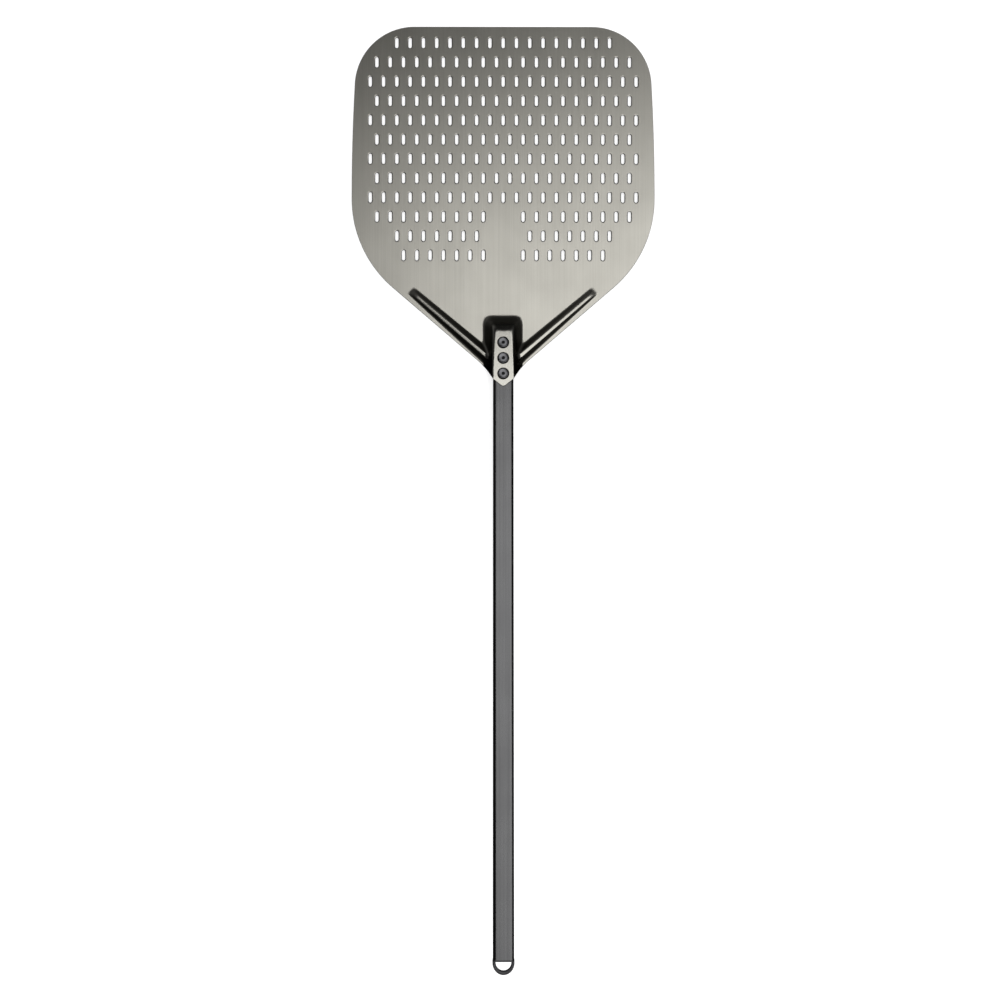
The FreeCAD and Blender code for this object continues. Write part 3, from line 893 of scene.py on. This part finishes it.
FOOT_BLEND = 3.0


# %% Heights of the boss and the ribs above the flat sheet
def between(pair, share):
    return pair[0] + (pair[1] - pair[0]) * share


def share_of(value, low, high):
    """How far a value has come from low to high, kept between 0 and 1."""
    return min(max((value - low) / (high - low), 0.0), 1.0)


def boss_height(x, y):
    top = TUBE_TOP_Z + (TUBE_FRONT_Y - y) * math.tan(HANDLE_RISE)
    half = between(BOSS_TOP_HALF, (BOSS_TOP_Y - y) / (BOSS_TOP_Y - BOSS_END_Y))
    side = top * (BOSS_FOOT_HALF - abs(x)) / (BOSS_FOOT_HALF - half)
    front_rise = TUBE_TOP_Z + (TUBE_FRONT_Y - BOSS_TOP_Y) * math.tan(HANDLE_RISE)
    face = front_rise * (BOSS_FRONT_Y - y) / (BOSS_FRONT_Y - BOSS_TOP_Y)
    # The upright corners are rounder at the foot, and the top's edge is rounder in front than at its sides.
    corner_reach = between(BOSS_CORNER_REACH, share_of(min(side, face), 0, top))
    top_reach = between(BOSS_TOP_REACH, share_of(side - face, -SHOULDER_BLEND, SHOULDER_BLEND))
    return soft_min(soft_min(side, face, corner_reach), top, top_reach)


def rib_height(s, d):
    share = s / RIB_LENGTH
    outer_foot = between(RIB_FOOT_OUTER, share)
    inner_foot = between(RIB_FOOT_INNER, share)
    outer_top = between(RIB_TOP_OUTER, share)
    rise = between(RIB_RISE, (s - RIB_TOP_START) / (RIB_LENGTH - RIB_TOP_START))
    outer = (rise - RIB_TOP_FALL * (RIB_CREST - outer_top)) * (d - outer_foot) / (outer_top - outer_foot)
    inner = rise * (inner_foot - d) / (inner_foot - RIB_CREST)
    top = rise - RIB_TOP_FALL * (RIB_CREST - d)
    end = RIB_RISE[0] * s / RIB_TOP_START
    ridge = soft_min(soft_min(outer, inner, RIB_EDGE_REACH), top, RIB_EDGE_REACH)
    return soft_min(ridge, end, RIB_END_REACH)


def pressed_height(x, y):
    if y > PRESS_LINE_Y:
        return 0.0
    s, d = rib_place(Vector((abs(x), y)), 1)
    boss, rib = boss_height(x, y), rib_height(s, d)
    # Outside the ribs the sheet bends up more and more gently towards the boss.
    rib_reach = between(MARGIN_REACH, share_of(s, 0, RIB_LENGTH)) if d < RIB_CREST else FOOT_REACH[0]
    foot_reach = between((rib_reach, FOOT_REACH[1]), share_of(boss - rib, -FOOT_BLEND, FOOT_BLEND))
    return soft_max(soft_max(boss, rib, VALLEY_REACH), 0.0, foot_reach)


print("the boss rises", round(boss_height(0, BOSS_TOP_Y), 1), "mm in front, the ribs up to", RIB_RISE[1])


# %% Press the sheet
for vert in blade.verts:
    vert.co.z += pressed_height(vert.co.x, vert.co.y)
many_sided = [face for face in blade.faces if len(face.verts) > 4]
bmesh.ops.triangulate(blade, faces=many_sided)
print("tongue's height:", round(max(vert.co.z for vert in blade.verts), 2),
      "frame says", round(box_mm("blade")[1].z, 2))

# %% [markdown]
# ### Hard-anodised aluminium
#
# Hard anodising turns aluminium a warm grey-brown and keeps the fine lines of the brushing that came before
# it. The lines run the length of the blade. They show as faint streaks in the tone, and as a very low
# relief that breaks up the reflection of the soft box. Where the press has lifted the sheet, hands and
# ovens rub the top smoother, and a painted highlight makes it a little paler; the steep flanks carry
# painted shade, so they are darker than the flat sheet.

# %% Make the blade
# The worn colour serves both the bare metal at worn edges and the painted highlight on the pressed tops.
blade_finish = metal_finish("hard_anodised_brushed", dark=(0.462, 0.449, 0.404), light=(0.498, 0.485, 0.438),
                            worn=(0.80, 0.785, 0.735), rough=(0.32, 0.36), lines=(1500.0, 9.0),
                            bump=0.006 * MM, grain=1600.0, wear=0.5, burnish_and_painted_light=0.36, grain_share=1.6)
finish_piece(blade, "blade_sheet", blade_finish, ["blade"])

# %% [markdown]
# ## The handle
#
# The handle is a drawn tube: a rectangle with well rounded corners, flat on top where a hand holds it. It
# lies on a gentle slope, so it rises from the blade to the user's hand. It is drawn level, as a row of
# rounded sections along the outside and back through the bore, with two more near each cut end, where the
# edge is lightly broken. Each section is bridged to the next, and then the whole tube is turned to its
# slope.

# %% Sections of a rounded bar
TUBE_WIDTH = 22.0
TUBE_WALL = 1.5
TUBE_EDGE_R = 3.5
TUBE_BREAK = 0.2
SHARPEST_R = 0.3                         # no corner of an inset section is sharper than this


def rounded_section(bm, width, height, radius, y, drop=0.0, segments=8):
    """A rounded rectangle across Y, with its top drop below z = 0, as a closed loop of edges."""
    known = set(bm.verts)
    corners = bmesh.ops.create_grid(bm, x_segments=1, y_segments=1, size=0.5)["verts"]
    bmesh.ops.scale(bm, vec=(width, height, 1), verts=corners)
    bmesh.ops.rotate(bm, cent=(0, 0, 0), matrix=Matrix.Rotation(math.pi / 2, 3, "X"), verts=corners)
    bmesh.ops.translate(bm, vec=(0, y, -height / 2 - drop), verts=corners)
    bmesh.ops.bevel(bm, geom=corners, offset=radius, offset_type="OFFSET", segments=segments, profile=0.5,
                    affect="VERTICES", material=-1)
    fresh = {vert for vert in bm.verts if vert not in known}
    faces = [face for face in bm.faces if set(face.verts) <= fresh]
    bmesh.ops.delete(bm, geom=faces, context="FACES_ONLY")
    return [edge for edge in bm.edges if set(edge.verts) <= fresh]


def inset_section(bm, base, gap, y):
    """The section base = (width, height, radius, drop), made gap smaller all round."""
    width, height, radius, drop = base
    corner = max(radius - gap, SHARPEST_R)
    return rounded_section(bm, width - 2 * gap, height - 2 * gap, corner, y, drop + gap)


def lofted(bm, sections):
    """Bridges each section to the next one."""
    for first, second in zip(sections, sections[1:]):
        bmesh.ops.bridge_loops(bm, edges=first + second)


def extruded(bm, edges, run):
    """Extrudes a loop of edges by the vector run, and returns the new loop."""
    made = bmesh.ops.extrude_edge_only(bm, edges=edges)["geom"]
    fresh = {item for item in made if isinstance(item, bmesh.types.BMVert)}
    bmesh.ops.translate(bm, vec=run, verts=list(fresh))
    return [item for item in made if isinstance(item, bmesh.types.BMEdge) and set(item.verts) <= fresh]


def lay_on_slope(bm):
    """Turns a level drawing down to the handle's slope and moves it to the tube's front top edge."""
    bmesh.ops.recalc_face_normals(bm, faces=bm.faces[:])
    bmesh.ops.rotate(bm, cent=(0, 0, 0), matrix=Matrix.Rotation(-HANDLE_RISE, 3, "X"), verts=bm.verts[:])
    bmesh.ops.translate(bm, vec=(0, TUBE_FRONT_Y, TUBE_TOP_Z), verts=bm.verts[:])


# %% Draw the tube
tube = bmesh.new()
OUTSIDE = (TUBE_WIDTH, TUBE_HEIGHT, TUBE_EDGE_R, 0.0)
BORE = (TUBE_WIDTH - 2 * TUBE_WALL, TUBE_HEIGHT - 2 * TUBE_WALL, TUBE_EDGE_R - TUBE_WALL, TUBE_WALL)
# (distance in from the end, how far the edge is broken there), from the end's flat face to the full section.
broken = [(0.0, TUBE_BREAK), (0.3 * TUBE_BREAK, 0.3 * TUBE_BREAK), (TUBE_BREAK, 0.0)]
outer = [inset_section(tube, OUTSIDE, cut, -back) for back, cut in broken]
outer += [inset_section(tube, OUTSIDE, cut, back - TUBE_LENGTH) for back, cut in reversed(broken)]
inner = [inset_section(tube, BORE, -cut, back - TUBE_LENGTH) for back, cut in broken]
inner += [inset_section(tube, BORE, -cut, -back) for back, cut in reversed(broken)]
lofted(tube, outer + inner + outer[:1])
lay_on_slope(tube)
print("tube:", len(tube.faces), "faces, open edges", sum(edge.is_boundary for edge in tube.edges))

# %% [markdown]
# ### Black-anodised tube
#
# Drawing a tube through its die leaves faint lines along it, and black anodising keeps them. The tone is a
# neutral dark grey, a little lighter where hands polish the corners. The lines follow the slope of the
# tube, so the pattern's space is turned by the same angle.

# %% Make the tube
tube_finish = metal_finish("black_anodised_drawn", dark=(0.112, 0.112, 0.114), light=(0.140, 0.140, 0.142),
                           worn=(0.30, 0.30, 0.30), rough=(0.25, 0.31), lines=(1100.0, 4.0),
                           bump=0.004 * MM, wear=0.6, turn=(HANDLE_RISE, 0, 0))
finish_piece(tube, "handle", tube_finish, ["handle_tube"], crisp=True)

# %% [markdown]
# ## The rivets
#
# A blind rivet is set from one side. Its head has a sloping flank round a shallow, turned dish, and the
# bulb inside the tube is formed when the steel mandrel is pulled. It is a turned part, so half of its
# section is drawn with the pen and spun once round the axis.

# %% The rivet's section
HEAD_R = 6.5
FLANK_RISE = 1.75
FLANK_FOOT = 0.45
DISH_R = 4.7
DISH_DEPTH = 0.45
BORE_R = 1.65
SHANK_R = 3.2
BULB_R = 4.6
BULB_LENGTH = 3.2
# (in from the bulb's radius, down from the tube's wall) along the bulb.
BULB_COURSE = [(0.8, 0.0), (0.2, 0.5), (0.0, 1.4), (0.1, 2.3), (0.7, BULB_LENGTH)]
GROOVE_RADII = (2.45, 3.15, 3.85)
GROOVE_HALF = 0.14
GROOVE_DEPTH = 0.07
BREAK = 0.12                             # small breaks at the edges of the head and the dish
FLANK_STEPS = 5
ROUND_STEPS = 64


def rivet_section():
    """(radius, height) points from the bottom of the bore, over the head, to the bulb."""
    dish_z = SEAT_Z + FLANK_RISE - DISH_DEPTH
    bulb_low = -TUBE_WALL - BULB_LENGTH
    points = [(BORE_R, bulb_low), (BORE_R, dish_z - 0.15), (BORE_R + 0.15, dish_z)]
    for r in GROOVE_RADII:
        points += [(r - GROOVE_HALF, dish_z), (r, dish_z - GROOVE_DEPTH), (r + GROOVE_HALF, dish_z)]
    points += [(DISH_R - DISH_DEPTH, dish_z), (DISH_R - BREAK, dish_z + 0.40 * DISH_DEPTH)]
    # The flank steepens from the rim of the dish to the foot of the head.
    for step in range(FLANK_STEPS + 1):
        turn = step / FLANK_STEPS
        fall = (FLANK_RISE - FLANK_FOOT) * (0.65 * turn + 0.35 * turn ** 2)
        points.append((DISH_R + 0.10 + (HEAD_R - DISH_R - BREAK) * turn, SEAT_Z + FLANK_RISE - fall))
    points += [(HEAD_R, SEAT_Z + 0.7 * FLANK_FOOT), (HEAD_R, SEAT_Z + BREAK), (HEAD_R - BREAK, SEAT_Z),
               (SHANK_R, SEAT_Z), (SHANK_R, -TUBE_WALL)]
    points += [(BULB_R - inward, -TUBE_WALL - down) for inward, down in BULB_COURSE]
    points.append((BORE_R, bulb_low))
    return points


def spun(points, y):
    """The closed section spun once round the upright axis at the distance y along the slope."""
    bm = bmesh.new()
    (r, z), *rest = points
    drawn_line(bm, bm.verts.new((r, y, z)), *[(r, y, z) for r, z in rest])
    bmesh.ops.remove_doubles(bm, verts=bm.verts[:], dist=0.001)
    bmesh.ops.spin(bm, geom=bm.verts[:] + bm.edges[:], cent=(0, y, 0), axis=UP, angle=2 * math.pi,
                   steps=ROUND_STEPS, use_merge=True)
    bmesh.ops.remove_doubles(bm, verts=bm.verts[:], dist=0.001)
    return bm


print("the section has", len(rivet_section()), "points")

# %% [markdown]
# ### Turned and anodised
#
# The head is faced on a lathe before anodising, so its lines are rings round its own axis. Distance from
# the axis drives a wave, and each rivet has its own centre, set in a Mapping node. The flank round the dish
# is painted nearly black, as painted shade.

# %% Finish of a rivet, and the three rivets
def rivet_finish(place, axis_point):
    material = bpy.data.materials.new(f"black_anodised_turned_{place}")
    material.use_nodes = True
    tree = material.node_tree
    shader = tree.nodes["Principled BSDF"]
    shader.inputs["Metallic"].default_value = 1.0
    spot = node(tree, "ShaderNodeTexCoord").outputs["Object"]
    centred = node(tree, "ShaderNodeMapping", vector_type="TEXTURE")
    centred.inputs["Location"].default_value = axis_point * MM
    centred.inputs["Rotation"].default_value = (-HANDLE_RISE, 0, 0)
    join(tree, spot, centred.inputs["Vector"])
    rings = node(tree, "ShaderNodeTexWave", wave_type="RINGS", rings_direction="Z", wave_profile="SIN")
    rings.inputs["Scale"].default_value = 420.0
    rings.inputs["Distortion"].default_value = 0.6
    rings.inputs["Detail"].default_value = 2.0
    join(tree, centred.outputs[0], rings.inputs["Vector"])
    speck = placed(tree, FINE_GRAIN, spot, Size=6000.0)
    edge = placed(tree, EDGE_WEAR, spot, Amount=0.8, Patches=900.0)
    tone = blended(tree, rings.outputs["Fac"], (0.21, 0.21, 0.222), (0.29, 0.29, 0.305))
    # Painted shade: the steep flank round the dish is painted nearly black.
    flank = placed(tree, STEEP_FACES, Level=0.975, Upright=0.90)
    tone = blended(tree, flank.outputs["Steep"], tone, (0.012, 0.012, 0.013))
    join(tree, blended(tree, edge.outputs["Wear"], tone, (0.42, 0.42, 0.43)), shader.inputs["Base Color"])
    join(tree, spread(tree, speck.outputs["Smudge"], 0.26, 0.36), shader.inputs["Roughness"])
    relief = node(tree, "ShaderNodeBump")
    relief.inputs["Distance"].default_value = 0.02 * MM
    fine = calculated(tree, "MULTIPLY", speck.outputs["Grain height"], 0.5)
    join(tree, calculated(tree, "ADD", rings.outputs["Fac"], fine), relief.inputs["Height"])
    join(tree, relief.outputs[0], shader.inputs["Normal"])
    return material


for place in RIVET_NAMES:
    station = rivet_station(place)
    rivet = spun(rivet_section(), -station)
    lay_on_slope(rivet)
    turned_finish = rivet_finish(place, on_slope(-station, SEAT_Z))
    finish_piece(rivet, f"rivet_{place}", turned_finish, [f"rivet_{place}_body"])

# %% [markdown]
# ### Mandrels
#
# What is left of each mandrel is a rough steel stub, deep in its rivet, of which only the broken end shows.
# The frame's own solids are the right shape here, so they stay, and take a dull steel finish.

# %% Finish the mandrels
steel_finish = metal_finish("dull_broken_steel", dark=(0.02, 0.02, 0.021), light=(0.035, 0.035, 0.037),
                            worn=(0.12, 0.12, 0.125), rough=(0.42, 0.55), lines=(1500.0, 1500.0),
                            bump=0.03 * MM, grain=7000.0, wear=0.5)
for place in RIVET_NAMES:
    stub = frame["nodes"][f"rivet_{place}_mandrel"]
    stub.data.materials.clear()
    stub.data.materials.append(steel_finish)
    print(stub.name, "has", stub.data.materials[0].name)

# %% [markdown]
# ## The end plug and its hanging loop
#
# The plug is one nylon moulding: a flange that covers the tube's end, a hollow shank with crush ribs that
# grips the bore, and a half-ring loop on two short legs. The shank and the flange are one row of rounded
# sections, each bridged to the next, from the bottom of the hollow to the flange's outer face. The loop is
# one rounded section that is extruded, spun half round and extruded again.

# %% The shank and the flange
FLANGE = 1.5
FLANGE_PROUD = 0.3
SHANK_LENGTH = 26.0
SHANK_GAP = 0.5
SHANK_WALL = 1.6
SHANK_LIP = 1.0                          # an extra section this far inside the hollow's mouth keeps it crisp
CRUSH_RIBS = 4
CRUSH_RIB_THICKNESS = 1.0
CRUSH_RIB_GAP = 0.05                     # between a crush rib and the bore
CRUSH_RIB_SLOPE = 0.2
# (in from the flange's edge, back from the tube's end) over the flange's rounded rim.
FLANGE_COURSE = [(0.35, 0.0), (0.08, 0.1), (0.0, 0.35),
                 (0.0, FLANGE - 0.45), (0.12, FLANGE - 0.14), (0.5, FLANGE)]
FLANGE_BASE = (TUBE_WIDTH + 2 * FLANGE_PROUD, TUBE_HEIGHT + 2 * FLANGE_PROUD, TUBE_EDGE_R + FLANGE_PROUD,
               -FLANGE_PROUD)
shank_start = -(TUBE_LENGTH - SHANK_LENGTH)


def shank_stations():
    """(y, gap to the bore) from the rim of the hollow's mouth, over the crush ribs, to the tube's end."""
    stations = [(shank_start, SHANK_GAP + SHANK_WALL), (shank_start, SHANK_GAP)]
    for rib in range(1, CRUSH_RIBS + 1):
        y = shank_start - SHANK_LENGTH / (CRUSH_RIBS + 1) * rib
        back = y - CRUSH_RIB_THICKNESS
        stations += [(y, SHANK_GAP), (y - CRUSH_RIB_SLOPE, CRUSH_RIB_GAP),
                     (back + CRUSH_RIB_SLOPE, CRUSH_RIB_GAP), (back, SHANK_GAP)]
    return stations + [(-TUBE_LENGTH, SHANK_GAP)]


plug = bmesh.new()
core_back = -(TUBE_LENGTH - SHANK_WALL)
core = [inset_section(plug, BORE, SHANK_GAP + SHANK_WALL, y) for y in (core_back, shank_start - SHANK_LIP)]
bmesh.ops.edgeloop_fill(plug, edges=core[0])
shank = core + [inset_section(plug, BORE, gap, y) for y, gap in shank_stations()]
flange = [inset_section(plug, FLANGE_BASE, inset, -TUBE_LENGTH - back) for inset, back in FLANGE_COURSE]
lofted(plug, shank + flange)
bmesh.ops.edgeloop_fill(plug, edges=flange[-1])
print("plug body:", len(plug.faces), "faces, open edges", sum(edge.is_boundary for edge in plug.edges))

# %% The loop
EYE_R = 8.1
LOOP_WIDTH = 3.3
LOOP_REACH = 12.3
LOOP_THICK = 5.0
LOOP_LEG = 1.9
LOOP_ROUND = 1.5
LOOP_ROOT = 0.4                          # the legs start this far inside the flange
LOOP_STEPS = 40


def draw_loop(bm):
    """The ring's section starts inside the flange on the right and ends inside it on the left."""
    before = set(bm.verts)
    start_y = -TUBE_LENGTH - FLANGE + LOOP_ROOT
    centre = Vector((0, -TUBE_LENGTH - FLANGE - LOOP_LEG, 0))
    section = rounded_section(bm, LOOP_WIDTH, LOOP_THICK, LOOP_ROUND, start_y,
                              drop=TUBE_HEIGHT / 2 - LOOP_THICK / 2, segments=5)
    fresh = list({vert for edge in section for vert in edge.verts})
    bmesh.ops.translate(bm, vec=(EYE_R + LOOP_WIDTH / 2, 0, 0), verts=fresh)
    bmesh.ops.edgeloop_fill(bm, edges=section)
    arm = extruded(bm, section, Vector((0, centre.y - start_y, 0)))
    swept = bmesh.ops.spin(bm, geom=list({v for e in arm for v in e.verts}) + arm, cent=centre, axis=UP,
                           angle=-math.pi, steps=LOOP_STEPS)
    last = [item for item in swept["geom_last"] if isinstance(item, bmesh.types.BMEdge)]
    end = extruded(bm, last, Vector((0, start_y - centre.y, 0)))
    bmesh.ops.edgeloop_fill(bm, edges=end)
    # The ring is a little deeper at its bow than at its legs: its outside is part of an ellipse.
    for vert in [v for v in bm.verts if v not in before and v.co.y < centre.y - 0.001]:
        arm_vector = vert.co - centre
        reach = arm_vector.xy.length
        bow = (-arm_vector.y / reach) ** 2
        grown = EYE_R + (reach - EYE_R) * (1 + (LOOP_REACH - EYE_R - LOOP_WIDTH) / LOOP_WIDTH * bow)
        vert.co.x = centre.x + arm_vector.x / reach * grown
        vert.co.y = centre.y + arm_vector.y / reach * grown


draw_loop(plug)
bmesh.ops.remove_doubles(plug, verts=plug.verts[:], dist=0.001)
lay_on_slope(plug)
print("plug with loop:", len(plug.faces), "faces")

# %% [markdown]
# ### Moulded nylon
#
# Black nylon from a lightly etched mould: a dark, slightly cloudy tone, a fine even grain and a soft gloss.

# %% Make the plug
def nylon_finish():
    material = bpy.data.materials.new("moulded_black_nylon")
    material.use_nodes = True
    tree = material.node_tree
    shader = tree.nodes["Principled BSDF"]
    place = node(tree, "ShaderNodeTexCoord").outputs["Object"]
    speck = placed(tree, FINE_GRAIN, place, Size=2600.0)
    edge = placed(tree, EDGE_WEAR, place, Amount=0.6, Patches=500.0)
    tone = blended(tree, spread(tree, speck.outputs["Smudge"], 0.0, 1.0), (0.018, 0.018, 0.020),
                   (0.028, 0.028, 0.031))
    join(tree, blended(tree, edge.outputs["Wear"], tone, (0.06, 0.06, 0.064)), shader.inputs["Base Color"])
    join(tree, spread(tree, speck.outputs["Grain height"], 0.34, 0.46), shader.inputs["Roughness"])
    relief = node(tree, "ShaderNodeBump")
    relief.inputs["Distance"].default_value = 0.03 * MM
    join(tree, speck.outputs["Grain height"], relief.inputs["Height"])
    join(tree, relief.outputs[0], shader.inputs["Normal"])
    return material


finish_piece(plug, "hanging_loop", nylon_finish(), ["hanging_loop_plug"], crisp=True)
